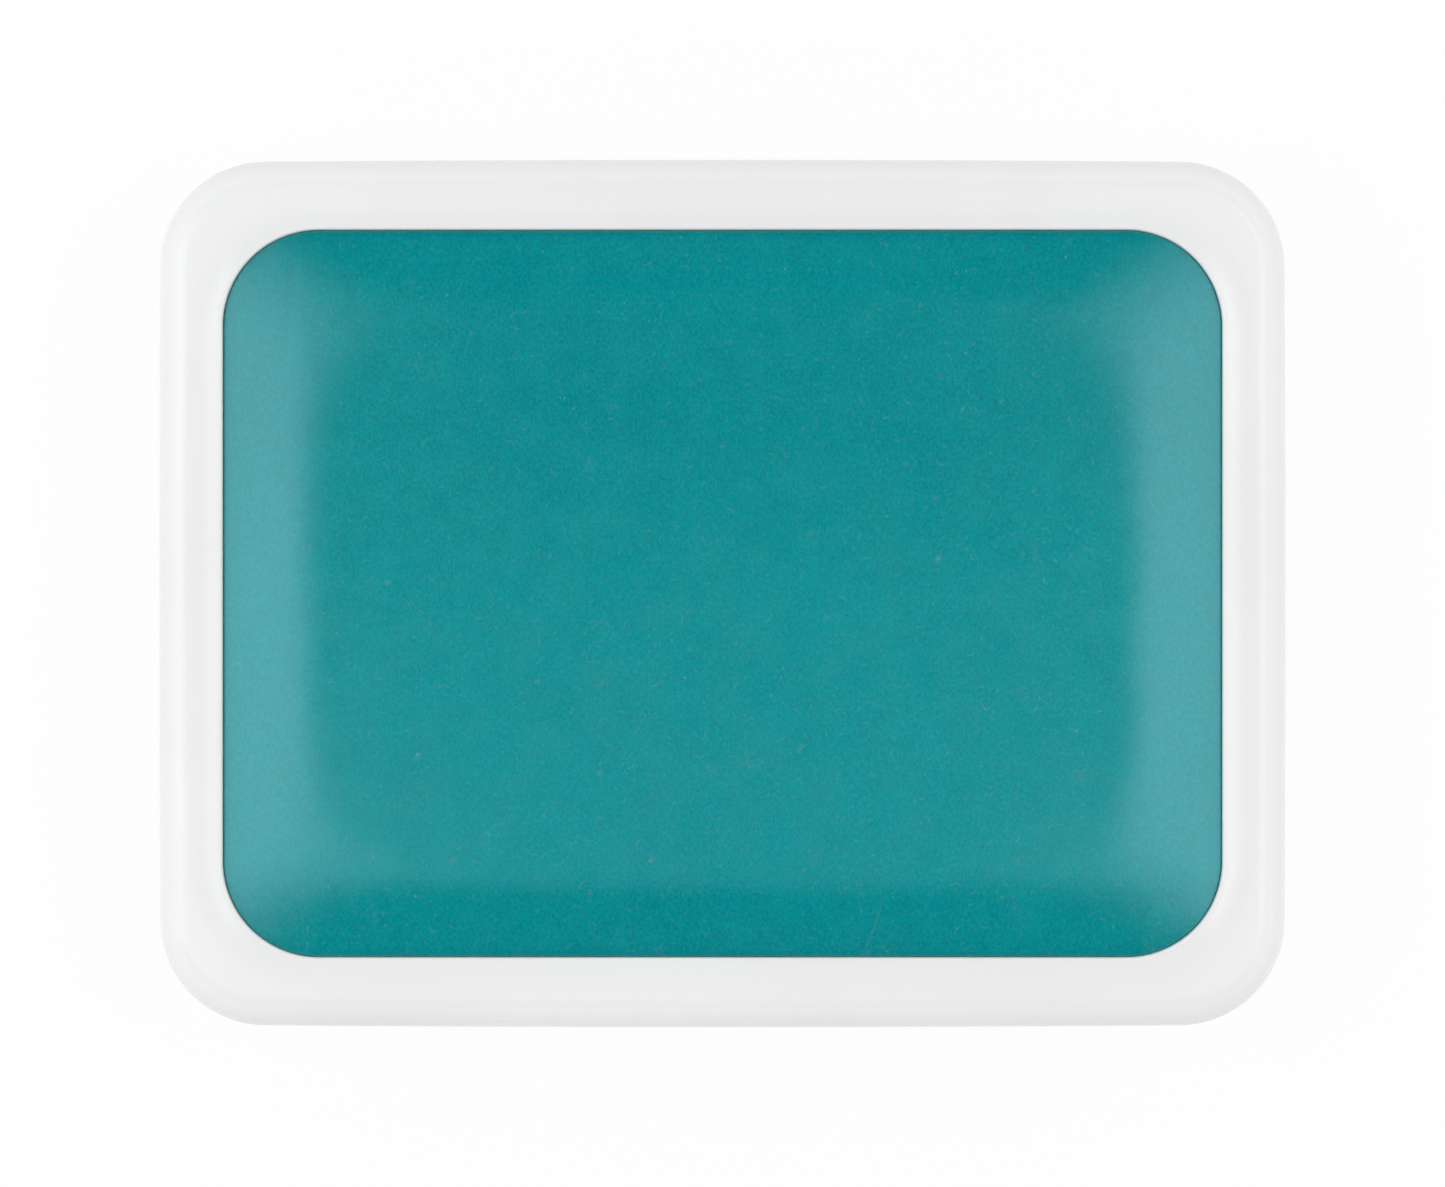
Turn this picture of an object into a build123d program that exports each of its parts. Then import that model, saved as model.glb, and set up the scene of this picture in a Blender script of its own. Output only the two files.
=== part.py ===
"""Wet palette: a shallow airtight box that keeps acrylic paint moist on a damp sheet.

The lower half is a moulded tray on four soft feet. A foam sponge lies on low ribs in the
tray, and the palette sheet lies on the sponge. The upper half is a push-on lid: a glossy
frame with a rolled rim, a soft pad with a raised flat middle set into it from above, a deck
plate that backs the pad and closes the lid from below, and a seal ring in the channel that the
tray's wall pushes into.

Frame: +X along the long side, +Y to the back, +Z up, origin under the middle of the
footprint at the level that the feet stand on. Millimetres.
"""

from build123d import *
import os

# Overall size
LENGTH = 200.0
WIDTH = 154.0
HEIGHT = 27.0
CORNER_R = 18.5
LONG_CROWN = 0.5  # how far a long side stands out at its middle
SHORT_CROWN = 0.3

# The opening in the lid's frame, which the soft pad fills
OPENING_LENGTH = 176.7
OPENING_WIDTH = 128.6
OPENING_R = 17.0

# Levels, from the table up
FOOT_HEIGHT = 1.6
TRAY_FLOOR = 2.2
RIB_HEIGHT = 0.6
SPONGE_THICKNESS = 7.5
SHEET_THICKNESS = 0.2
LID_BOTTOM = 13.0
DECK_BOTTOM = 18.8
LEDGE_BOTTOM = 20.6
LEDGE_TOP = 22.4
RIM_TOP = 21.2
CHANNEL_TOP = 23.4
PAD_EDGE = 24.5
LIP_TOP = 25.9
PAD_TOP = 26.9

# Lid frame
SKIRT = 2.6
FLANGE = 2.2
RIM_ROUND = 5.6
LIP_SLOPE = 5.2  # how far the rim falls gently towards the opening
LIP_ROUND = 0.7
LEDGE = 3.2

# Soft pad, deck and seal
PAD_GAP = 0.1
PAD_FLAT_LENGTH = 138.0
PAD_FLAT_WIDTH = 101.5
PAD_FLAT_R = 12.0
DECK_GAP = 0.2
DECK_WALL = 1.8
PLATEAU_LENGTH = 158.0
PLATEAU_WIDTH = 110.0
PLATEAU_R = 9.0
PLATEAU_TOP = 24.4
SEAL_INSET = 2.9
SEAL_WIDTH = 4.2
SEAL_ROUND = 0.6

# Tray
WALL_INSET = 3.0
WALL = 2.4
HEEL_R = 5.0
WELL_R = 2.0
BELT_INSET = 0.4
BELT_BOTTOM = 11.0
BELT_TOP = 12.8
RIM_EASE = 0.6
RIB_WIDTH = 2.0
RIB_COUNT = 9
RIB_PITCH = 18.0
RIB_LENGTH = 122.0

# Finger scoops at the middle of both long sides
SCOOP_WIDTH = 40.0
LID_SCOOP_DEPTH = 3.0
BELT_SCOOP_DEPTH = 2.4

# Sponge, sheet and feet
SPONGE_GAP = 1.2
SPONGE_EASE = 1.2
SHEET_MARGIN = 2.6
FOOT_R = 8.0
FOOT_SEAT = 1.0
FOOT_SEAT_GAP = 0.1
FOOT_EASE = 0.5
FOOT_X = 76.0
FOOT_Y = 53.0

TRAY_BOTTOM = FOOT_HEIGHT
TRAY_TOP_OF_FLOOR = TRAY_BOTTOM + TRAY_FLOOR
SPONGE_BOTTOM = TRAY_TOP_OF_FLOOR + RIB_HEIGHT
SHEET_BOTTOM = SPONGE_BOTTOM + SPONGE_THICKNESS


def footprint(inset=0.0):
    """The object's outline moved inwards: four slightly bowed sides with rounded corners."""
    x, y = LENGTH / 2 - inset, WIDTH / 2 - inset
    corner_x, corner_y = x - SHORT_CROWN, y - LONG_CROWN
    sides = [
        ThreePointArc((-corner_x, -corner_y), (0, -y), (corner_x, -corner_y)),
        ThreePointArc((corner_x, -corner_y), (x, 0), (corner_x, corner_y)),
        ThreePointArc((corner_x, corner_y), (0, y), (-corner_x, corner_y)),
        ThreePointArc((-corner_x, corner_y), (-x, 0), (-corner_x, -corner_y)),
    ]
    face = make_face(sides)
    return fillet(face.vertices(), CORNER_R - inset)


def slab(inset, bottom, top):
    """The outline, moved inwards, between two levels."""
    return Pos(0, 0, bottom) * extrude(footprint(inset), top - bottom)


def plateau(grow, bottom, top):
    """The deck's raised middle, grown outwards on every side, between two levels."""
    outline = RectangleRounded(
        PLATEAU_LENGTH + 2 * grow, PLATEAU_WIDTH + 2 * grow, PLATEAU_R + grow
    )
    return Pos(0, 0, bottom) * extrude(outline, top - bottom)


def opening(grow, level):
    """The outline of the lid's opening, grown outwards on every side, at one level."""
    return Pos(0, 0, level) * RectangleRounded(
        OPENING_LENGTH + 2 * grow, OPENING_WIDTH + 2 * grow, OPENING_R + grow
    )


def window(grow, bottom, top):
    """The lid's opening, grown outwards on every side, between two levels."""
    return extrude(opening(grow, bottom), top - bottom)


def edges_at(shape, level):
    """The edges that lie flat at one level."""
    return shape.edges().filter_by_position(Axis.Z, level - 0.01, level + 0.01)


def scoop_radius(depth):
    """The radius of an arc as wide as a scoop and as deep as given."""
    return (SCOOP_WIDTH**2 / 4 + depth**2) / (2 * depth)


def make_lid_frame():
    """Rolled rim with an outer skirt, an inner flange, and a ledge for the pad and deck."""
    frame = slab(0, LID_BOTTOM, HEIGHT)
    frame = fillet(edges_at(frame, HEIGHT), RIM_ROUND)
    frame -= window(0, LEDGE_TOP, HEIGHT)
    frame -= loft([opening(0, LIP_TOP), opening(LIP_SLOPE, HEIGHT)], ruled=True)
    frame = fillet(edges_at(frame, LIP_TOP), LIP_ROUND)
    frame -= window(-LEDGE, LEDGE_BOTTOM, LEDGE_TOP)
    frame -= window(0, DECK_BOTTOM, LEDGE_BOTTOM)
    frame -= window(FLANGE, LID_BOTTOM, DECK_BOTTOM)
    channel = slab(SKIRT, LID_BOTTOM, CHANNEL_TOP)
    frame -= channel - window(FLANGE, LID_BOTTOM, CHANNEL_TOP)
    radius = scoop_radius(LID_SCOOP_DEPTH)
    scoop = Cylinder(radius, WIDTH + 2, rotation=(90, 0, 0))
    scoop = Pos(0, 0, LID_BOTTOM + LID_SCOOP_DEPTH - radius) * scoop
    return frame - (scoop - slab(SKIRT, -2 * radius, HEIGHT))


def make_lid_pad():
    """Soft pad: a raised flat middle, margins that fall to the frame, and a hollow back."""
    flange = window(-PAD_GAP, LEDGE_TOP, PAD_EDGE)
    core = window(-LEDGE - PAD_GAP, LEDGE_BOTTOM, LEDGE_TOP)
    flat = Pos(0, 0, PAD_TOP) * RectangleRounded(PAD_FLAT_LENGTH, PAD_FLAT_WIDTH, PAD_FLAT_R)
    crown = loft([opening(-PAD_GAP, PAD_EDGE), flat], ruled=True)
    return flange + core + crown - plateau(PAD_GAP, LEDGE_BOTTOM, PLATEAU_TOP)


def make_lid_deck():
    """Plate under the ledge with a raised middle that backs the pad, hollow from below."""
    deck = window(-DECK_GAP, DECK_BOTTOM, LEDGE_BOTTOM)
    deck += plateau(0, LEDGE_BOTTOM, PLATEAU_TOP)
    return deck - plateau(-DECK_WALL, DECK_BOTTOM, PLATEAU_TOP - DECK_WALL)


def make_lid_seal():
    """Ring of soft square section under the channel's roof, which the tray's rim meets."""
    ring = slab(SEAL_INSET, RIM_TOP, CHANNEL_TOP) - slab(
        SEAL_INSET + SEAL_WIDTH, RIM_TOP, CHANNEL_TOP
    )
    return fillet(edges_at(ring, RIM_TOP), SEAL_ROUND)


def make_tray_shell():
    """Open tray: rounded heel, upright wall, a belt that the skirt comes down to, and ribs."""
    body = slab(WALL_INSET, TRAY_BOTTOM, RIM_TOP)
    body = fillet(edges_at(body, TRAY_BOTTOM), HEEL_R)
    body = fillet(edges_at(body, RIM_TOP), RIM_EASE)
    belt = slab(BELT_INSET, BELT_BOTTOM, BELT_TOP)
    radius = scoop_radius(BELT_SCOOP_DEPTH)
    for side in (-1, 1):
        centre_y = side * (WIDTH / 2 - BELT_INSET + radius - BELT_SCOOP_DEPTH)
        belt -= Pos(0, centre_y, (BELT_BOTTOM + BELT_TOP) / 2) * Cylinder(radius, 4)
    well = slab(WALL_INSET + WALL, TRAY_TOP_OF_FLOOR, RIM_TOP)
    well = fillet(edges_at(well, TRAY_TOP_OF_FLOOR), WELL_R)
    tray = body + belt - well
    first_x = -RIB_PITCH * (RIB_COUNT - 1) / 2
    for number in range(RIB_COUNT):
        rib = Pos(
            first_x + number * RIB_PITCH, 0, TRAY_TOP_OF_FLOOR + RIB_HEIGHT / 2
        ) * Box(RIB_WIDTH, RIB_LENGTH, RIB_HEIGHT)
        tray += rib
    for x, y in foot_places().values():
        seat = Cylinder(FOOT_R + FOOT_SEAT_GAP, FOOT_SEAT)
        tray -= Pos(x, y, TRAY_BOTTOM + FOOT_SEAT / 2) * seat
    return tray


def make_sponge():
    """Foam slab that fills the well, with its top edges eased."""
    inset = WALL_INSET + WALL + SPONGE_GAP
    foam = slab(inset, SPONGE_BOTTOM, SHEET_BOTTOM)
    return fillet(edges_at(foam, SHEET_BOTTOM), SPONGE_EASE)


def make_palette_sheet():
    """Thin sheet lying flat on the sponge, cut a little smaller than it."""
    inset = WALL_INSET + WALL + SPONGE_GAP + SHEET_MARGIN
    return slab(inset, SHEET_BOTTOM, SHEET_BOTTOM + SHEET_THICKNESS)


def foot_places():
    """Each foot's name and the middle of its disc."""
    return {
        "foot_front_left": (-FOOT_X, -FOOT_Y),
        "foot_front_right": (FOOT_X, -FOOT_Y),
        "foot_back_left": (-FOOT_X, FOOT_Y),
        "foot_back_right": (FOOT_X, FOOT_Y),
    }


def make_foot(x, y):
    """Soft disc pressed into its seat under the tray."""
    height = FOOT_HEIGHT + FOOT_SEAT
    foot = Pos(x, y, height / 2) * Cylinder(FOOT_R, height)
    return fillet(edges_at(foot, 0), FOOT_EASE)


def main():
    """Builds every piece and writes one STEP file for each."""
    pieces = {
        "lid_frame": make_lid_frame(),
        "lid_pad": make_lid_pad(),
        "lid_deck": make_lid_deck(),
        "lid_seal": make_lid_seal(),
        "tray_shell": make_tray_shell(),
        "sponge": make_sponge(),
        "palette_sheet": make_palette_sheet(),
    }
    for name, (x, y) in foot_places().items():
        pieces[name] = make_foot(x, y)
    os.makedirs("parts", exist_ok=True)
    for name, piece in pieces.items():
        export_step(piece, f"parts/{name}.step")


main()
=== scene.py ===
"""The looks of the wet palette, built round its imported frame.

A closed lid with a rolled white rim and a raised teal pad stands on a white tray. Inside are a
foam sponge and a mixing sheet. Each sub-assembly is a class that works out its surfaces as
stacks of rings, with numpy, and dresses them in its finishes. All lengths are in metres.
"""

import logging
import math
from dataclasses import dataclass, field
from enum import Enum
from typing import Any, Sequence

import bpy
import numpy as np
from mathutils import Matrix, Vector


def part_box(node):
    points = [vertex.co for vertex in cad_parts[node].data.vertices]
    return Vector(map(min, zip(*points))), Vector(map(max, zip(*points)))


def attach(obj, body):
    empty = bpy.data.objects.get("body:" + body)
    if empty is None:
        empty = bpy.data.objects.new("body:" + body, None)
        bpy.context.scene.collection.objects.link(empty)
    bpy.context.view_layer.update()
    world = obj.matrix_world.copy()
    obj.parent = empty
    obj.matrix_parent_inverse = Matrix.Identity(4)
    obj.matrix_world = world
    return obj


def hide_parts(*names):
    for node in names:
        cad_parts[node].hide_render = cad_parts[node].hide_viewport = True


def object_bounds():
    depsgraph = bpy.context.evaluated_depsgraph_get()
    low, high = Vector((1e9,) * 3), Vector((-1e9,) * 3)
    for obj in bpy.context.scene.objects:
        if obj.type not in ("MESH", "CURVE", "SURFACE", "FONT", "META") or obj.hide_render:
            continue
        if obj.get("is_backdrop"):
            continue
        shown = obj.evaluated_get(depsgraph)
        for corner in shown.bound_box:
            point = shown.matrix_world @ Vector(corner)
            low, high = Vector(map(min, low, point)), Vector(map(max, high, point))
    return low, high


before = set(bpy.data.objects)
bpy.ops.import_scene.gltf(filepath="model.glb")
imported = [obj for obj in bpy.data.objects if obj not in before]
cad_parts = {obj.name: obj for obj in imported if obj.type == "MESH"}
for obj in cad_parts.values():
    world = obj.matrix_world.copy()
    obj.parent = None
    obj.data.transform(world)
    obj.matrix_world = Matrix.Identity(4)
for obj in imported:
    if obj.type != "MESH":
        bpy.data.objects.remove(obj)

LOG = logging.getLogger("wet_palette")
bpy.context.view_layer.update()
MM = 0.001
NEAR_CENTRE = 0.02  # the share of its size at which a ring meets the point that closes it
Colour = tuple[float, float, float, float]
Point = tuple[float, float]
Socket = bpy.types.NodeSocket


# Surfaces


class Walk(Enum):
    """How many steps each stretch of a rounded rectangle takes."""

    LONG_SIDE = 112
    SHORT_SIDE = 82
    CORNER = 36


def walk_once_round() -> tuple[np.ndarray, np.ndarray]:
    """Works out one walk round a rounded rectangle, the same for every size of it.

    A point of the outline is a point of its core rectangle plus the corner radius times the
    outward direction. Along a side the core point moves and the direction stays. In a corner
    the direction turns by a quarter and the core point stays.

    Returns:
        The core points, from -1 to 1 both ways, and the directions, one row for each step.
    """
    cores, directions = [], []
    corner = Walk.CORNER.value
    turn = np.linspace(0, math.pi / 2, corner, endpoint=False)
    for quarter in range(4):
        steps = Walk.SHORT_SIDE.value if quarter % 2 == 0 else Walk.LONG_SIDE.value
        along = np.linspace(-1, 1, steps, endpoint=False)
        side = np.stack([np.ones(steps), along], 1)
        core = np.concatenate([side, np.ones((corner, 2))])
        out = np.stack([np.cos(turn), np.sin(turn)], 1)
        direction = np.concatenate([np.tile([1.0, 0.0], (steps, 1)), out])
        c, s = math.cos(quarter * math.pi / 2), math.sin(quarter * math.pi / 2)
        spin = np.array([[c, s], [-s, c]])
        cores.append(core @ spin)
        directions.append(direction @ spin)
    return np.concatenate(cores), np.concatenate(directions)


CORE, DIRECTION = walk_once_round()


@dataclass(frozen=True)
class Outline:
    """A rounded rectangle whose sides may bow outwards a little."""

    half_x: float
    half_y: float
    radius: float
    bow_x: float = 0.0
    bow_y: float = 0.0

    def rings(self, profile: np.ndarray | Sequence[Point]) -> np.ndarray:
        """Carries a profile round the outline.

        Each ring is the core rectangle plus (radius - inset) times the outward direction. The
        bow then moves a side out by up to bow at its middle and by nothing at its ends, as one
        minus the square of the place along the side.

        Args:
            profile: Rows of inset, which is how far a ring lies inside the outline, and height.

        Returns:
            The points, as rings by steps by three.
        """
        inset, height = np.hsplit(np.asarray(profile, float), 2)
        core_x = self.half_x - self.bow_x - self.radius
        core_y = self.half_y - self.bow_y - self.radius
        reach = self.radius - inset
        x = core_x * CORE[:, 0] + reach * DIRECTION[:, 0]
        y = core_y * CORE[:, 1] + reach * DIRECTION[:, 1]
        bowed_x = x * (1 + self.bow_x / self.half_x * (1 - (y / self.half_y) ** 2))
        bowed_y = y * (1 + self.bow_y / self.half_y * (1 - (x / self.half_x) ** 2))
        return np.stack([bowed_x, bowed_y, np.broadcast_to(height, x.shape)], -1)


def arc(start: Point, end: Point, steps: int, first_up: bool) -> np.ndarray:
    """A quarter of an ellipse in a profile.

    The inset goes as one minus a cosine and the height as a sine, or the other way round.

    Args:
        start: The first inset and height.
        end: The last inset and height.
        steps: The number of points.
        first_up: Whether it leaves the start upright and reaches the end level.

    Returns:
        Rows of inset and height.
    """
    angle = np.linspace(0, math.pi / 2, steps)
    slow, fast = 1 - np.cos(angle), np.sin(angle)
    share = np.stack([slow, fast] if first_up else [fast, slow], 1)
    return np.array(start) + (np.array(end) - np.array(start)) * share


def rounded(*corners: tuple[float, float, float], steps: int = 6) -> np.ndarray:
    """Rounds the corners of a profile.

    At each corner an arc, as a quadratic curve through the two points that lie the corner's
    radius away on its two sides, takes the corner's place. Two more points beside each arc
    keep the flats flat.

    Args:
        corners: Inset, height and radius of each corner, from the profile's start to its end.
        steps: The points in each arc.

    Returns:
        Rows of inset and height.
    """
    rows = np.array(corners, float)
    points, radii = rows[:, :2], rows[:, 2]
    t = np.linspace(0, 1, steps)[:, None]
    beside = 0.25
    out = [points[:1]]
    for before, here, after, radius in zip(points, points[1:], points[2:], radii[1:]):
        if radius <= 0:
            out.append(here[None])
            continue
        back = (before - here) / np.linalg.norm(before - here) * radius
        on = (after - here) / np.linalg.norm(after - here) * radius
        a, b = here + back, here + on
        curve = (1 - t) ** 2 * a + 2 * t * (1 - t) * here + t**2 * b
        out += [(a + back * beside)[None], curve, (b + on * beside)[None]]
    out.append(points[-1:])
    return np.concatenate(out)


def towards_middle(ring: np.ndarray, scales: Sequence[float]) -> np.ndarray:
    """Copies one ring at each scale, shrunk about the middle at its own level."""
    factor = np.asarray(scales, float)[:, None, None]
    return ring * np.concatenate([factor, factor, np.ones_like(factor)], 2)


def skin(name: str, *stacks: np.ndarray, wrap: bool = False) -> bpy.types.Object:
    """Joins each ring of a stack to the next with quads, and closes the ends.

    The last ring joins the first if wrap is set. Otherwise each end is closed by triangles to
    a point at the mean of its ring. If the volume, a sixth of the sum of the triple products
    of the faces' corners, comes out negative, the faces are turned round.

    Args:
        name: The piece's name.
        stacks: The points of one or more parts, each as rings by steps by three.
        wrap: Whether each stack is a closed loop of rings.

    Returns:
        The new object, at the origin, smooth shaded.
    """
    points, quads, caps = np.zeros((0, 3)), [], [np.zeros((0, 3), int)]
    for stack in stacks:
        count, steps = stack.shape[:2]
        first = len(points)
        last = first + (count - 1) * steps
        rows = np.arange(count if wrap else count - 1)[:, None]
        here = np.arange(steps)
        there = (here + 1) % steps
        low, high = first + rows * steps, first + (rows + 1) % count * steps
        corners = [low + here, low + there, high + there, high + here]
        quads.append(np.stack(corners, -1).reshape(-1, 4))
        points = np.concatenate([points, stack.reshape(-1, 3)])
        if wrap:
            continue
        pole = np.full(steps, len(points))
        points = np.concatenate([points, stack[:1].mean(1), stack[-1:].mean(1)])
        caps.append(np.stack([first + there, first + here, pole], 1))
        caps.append(np.stack([last + here, last + there, pole + 1], 1))
    faces, triangles = np.concatenate(quads), np.concatenate(caps)
    halves = np.concatenate([faces[:, [0, 1, 2]], faces[:, [0, 2, 3]], triangles])
    a, b, c = (points[halves[:, k]] for k in range(3))
    if (a * np.cross(b, c)).sum() < 0:
        faces, triangles = faces[:, ::-1], triangles[:, ::-1]
    mesh = bpy.data.meshes.new(name)
    mesh.from_pydata(points.tolist(), [], faces.tolist() + triangles.tolist())
    mesh.shade_smooth()
    mesh.update()
    return place_in_scene(name, mesh)


def place_in_scene(name: str, data: bpy.types.ID) -> bpy.types.Object:
    """Makes an object of a mesh, lamp or camera and links it.

    Args:
        name: The object's name.
        data: What it shows.

    Returns:
        The object, at the origin.
    """
    made = bpy.data.objects.new(name, data)
    bpy.context.scene.collection.objects.link(made)
    return made


def smooth_step(low: float, high: float, value: np.ndarray) -> np.ndarray:
    """Rises from 0 at low to 1 at high as three squares less two cubes."""
    t = np.clip((value - low) / (high - low), 0, 1)
    return t * t * (3 - 2 * t)


def swell(plan: np.ndarray, length: float, seed: int) -> np.ndarray:
    """A gentle unevenness between about -1 and 1.

    It is the mean of seven plane waves of about the given length, whose directions and phases
    are drawn from the seed.

    Args:
        plan: Points, with X and Y first.
        length: The waves' mean length.
        seed: Which draw to take.

    Returns:
        The height at each point.
    """
    waves = 7
    draw = np.random.default_rng(seed)
    heading = draw.uniform(0, math.tau, waves)
    pitch = math.tau / (length * draw.uniform(0.7, 1.6, waves))
    phase = draw.uniform(0, math.tau, waves)
    along = plan[..., :1] * np.cos(heading) + plan[..., 1:2] * np.sin(heading)
    return np.sin(along * pitch + phase).mean(-1) * 1.6


# Shader sums


class Number:
    """One number at each point of a surface, written with Python's operators."""

    def __init__(self, graph: "Graph", socket: Socket) -> None:
        """Wraps a socket of a graph."""
        self.graph = graph
        self.socket = socket

    def __add__(self, other: "Number | float") -> "Number":
        """Adds."""
        return self.graph.sum("ADD", self, other)

    __radd__ = __add__

    def __sub__(self, other: "Number | float") -> "Number":
        """Takes away."""
        return self.graph.sum("SUBTRACT", self, other)

    def __rsub__(self, other: "Number | float") -> "Number":
        """Takes this away from a number."""
        return self.graph.sum("SUBTRACT", other, self)

    def __mul__(self, other: "Number | float") -> "Number":
        """Multiplies."""
        return self.graph.sum("MULTIPLY", self, other)

    __rmul__ = __mul__

    def __truediv__(self, other: "Number | float") -> "Number":
        """Divides."""
        return self.graph.sum("DIVIDE", self, other)

    def __abs__(self) -> "Number":
        """Drops the sign."""
        return self.graph.sum("ABSOLUTE", self)

    def over(self, limit: float) -> "Number":
        """1 where this is more than the limit, and 0 elsewhere."""
        return self.graph.sum("GREATER_THAN", self, limit)

    def fade(self, low: float, high: float) -> "Number":
        """Rises smoothly from 0 at low to 1 at high, or falls where low is the larger.

        Args:
            low: Where it is 0.
            high: Where it is 1.

        Returns:
            The new number.
        """
        rising = low < high
        ends = {"From Min": min(low, high), "From Max": max(low, high)}
        ends |= {"To Min": 0.0 if rising else 1.0, "To Max": 1.0 if rising else 0.0}
        settings = {"interpolation_type": "SMOOTHSTEP"}
        node = self.graph.node("ShaderNodeMapRange", settings, {"Value": self, **ends})
        return Number(self.graph, node.outputs["Result"])


class Graph:
    """The nodes of a material or of the world."""

    def __init__(self, owner: bpy.types.Material | bpy.types.World) -> None:
        """Empties the owner's nodes."""
        owner.use_nodes = True
        self.tree = owner.node_tree
        self.tree.nodes.clear()

    def node(
        self, kind: str, settings: dict[str, Any], inputs: dict[str | int, Any]
    ) -> bpy.types.Node:
        """Adds one node.

        Args:
            kind: The node's type.
            settings: Its own settings.
            inputs: A value, a socket or a Number for each socket that is set.

        Returns:
            The node.
        """
        made = self.tree.nodes.new(kind)
        for name, value in settings.items():
            setattr(made, name, value)
        for name, value in inputs.items():
            self.feed(made.inputs[name], value)
        return made

    def feed(self, socket: Socket, value: Any) -> None:
        """Sets a socket to a value, or links it to another socket or a Number.

        Args:
            socket: The input to set.
            value: What it gets.
        """
        value = value.socket if isinstance(value, Number) else value
        if isinstance(value, Socket):
            self.tree.links.new(value, socket)
        else:
            socket.default_value = value

    def sum(self, operation: str, *terms: Number | float) -> Number:
        """One Math node on numbers."""
        made = self.node("ShaderNodeMath", {"operation": operation}, dict(enumerate(terms)))
        return Number(self, made.outputs[0])

    def vectors(self, operation: str, *terms: Any) -> Socket:
        """One Vector Math node on vectors."""
        settings = {"operation": operation}
        return self.node("ShaderNodeVectorMath", settings, dict(enumerate(terms))).outputs[0]

    def split(self, vector: Socket) -> list[Number]:
        """The three parts of a vector."""
        parts = self.node("ShaderNodeSeparateXYZ", {}, {"Vector": vector})
        return [Number(self, part) for part in parts.outputs]

    def place(self, stretch: Sequence[float] = (1, 1, 1), turn: float = 0.0) -> Socket:
        """The point on the object, in metres.

        Args:
            stretch: What the point is multiplied by along each axis.
            turn: What it is turned by about Z, in radians.

        Returns:
            The vector.
        """
        where = self.node("ShaderNodeTexCoord", {}, {}).outputs["Object"]
        inputs = {"Vector": where, "Scale": stretch, "Rotation": (0, 0, turn)}
        return self.node("ShaderNodeMapping", {}, inputs).outputs["Vector"]

    def noise(
        self, size: float, where: Socket, detail: float = 3.0, roughness: float = 0.5
    ) -> Number:
        """Cloudy noise, about 0 to 1, whose largest features are of the given size."""
        inputs = {"Vector": where, "Scale": 1 / size, "Detail": detail, "Roughness": roughness}
        return Number(self, self.node("ShaderNodeTexNoise", {}, inputs).outputs["Fac"])

    def blend(self, share: Number | float, low: Any, high: Any) -> Socket:
        """Mixes two colours, by the second one's share."""
        sockets = {0: share, 6: low, 7: high}
        return self.node("ShaderNodeMix", {"data_type": "RGBA"}, sockets).outputs[2]

    def either(self, share: Number | Socket, first: Socket, second: Socket) -> Socket:
        """Mixes two shaders, by the second one's share."""
        return self.node("ShaderNodeMixShader", {}, {0: share, 1: first, 2: second}).outputs[0]

    def relief(self, height: Number, depth: float) -> Socket:
        """The surface normal under a relief whose height is multiplied by the depth."""
        inputs = {"Height": height, "Distance": depth, "Strength": 1.0}
        return self.node("ShaderNodeBump", {}, inputs).outputs["Normal"]


class Surface(Graph):
    """A material's nodes, with its main shader and its output in place."""

    def __init__(self, name: str) -> None:
        """Starts a new material with a Principled shader."""
        self.material = bpy.data.materials.new(name)
        super().__init__(self.material)
        self.shader = self.node("ShaderNodeBsdfPrincipled", {}, {})
        links = {"Surface": self.shader.outputs["BSDF"]}
        self.output = self.node("ShaderNodeOutputMaterial", {}, links)

    def finish(self, **sockets: Any) -> bpy.types.Material:
        """Sets the main shader's sockets.

        Args:
            sockets: What each socket gets, with _ for a space in its name.

        Returns:
            The material.
        """
        for name, value in sockets.items():
            self.feed(self.shader.inputs[name.replace("_", " ")], value)
        return self.material


def grey(level: float) -> Colour:
    """An opaque grey."""
    return (level, level, level, 1.0)


@dataclass(frozen=True)
class Strands:
    """Short bent strands or specks, one at most in each cell of a scattered grid.

    The cell, length and width are sizes, bend is the strongest curvature, share is the part of
    the cells that hold one, and shift moves the whole pattern.
    """

    cell: float
    length: float
    width: float
    bend: float
    share: float
    shift: float

    def mask(self, graph: Graph) -> Number:
        """1 on the strands and 0 between them.

        In each cell of a flat Voronoi pattern the cell's colour gives a heading, a bend and a
        chance. The point is turned by the heading about the cell's seed, and the strand fades
        out with its distance from a parabola over the width, and along it over half the
        length.

        Args:
            graph: The material's nodes.

        Returns:
            The mask.
        """
        shift = (self.shift, self.shift * 0.37, 0.0)
        moved = graph.vectors("ADD", graph.place(), shift)
        cells = graph.node(
            "ShaderNodeTexVoronoi",
            {"voronoi_dimensions": "2D"},
            {"Vector": moved, "Scale": 1 / self.cell, "Randomness": 0.9},
        )
        dx, dy, _ = graph.split(graph.vectors("SUBTRACT", moved, cells.outputs["Position"]))
        colour = {"Color": cells.outputs["Color"]}
        chance = graph.node("ShaderNodeSeparateColor", {}, colour).outputs
        red, green, blue = (Number(graph, part) for part in chance)
        heading = red * math.tau
        c, s = graph.sum("COSINE", heading), graph.sum("SINE", heading)
        along, aside = dx * c + dy * s, dy * c - dx * s
        bend = (green - 0.5) * (2 * self.bend)
        off = abs(aside - bend * along * along)
        half = self.length / 2 * (0.2 + green * green * 1.6)
        thin = off.fade(self.width * 0.9, 0.0)
        short = (abs(along) / half).fade(1.0, 0.3)
        return thin * short * (1 - blue.over(self.share))


# Finishes


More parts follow.
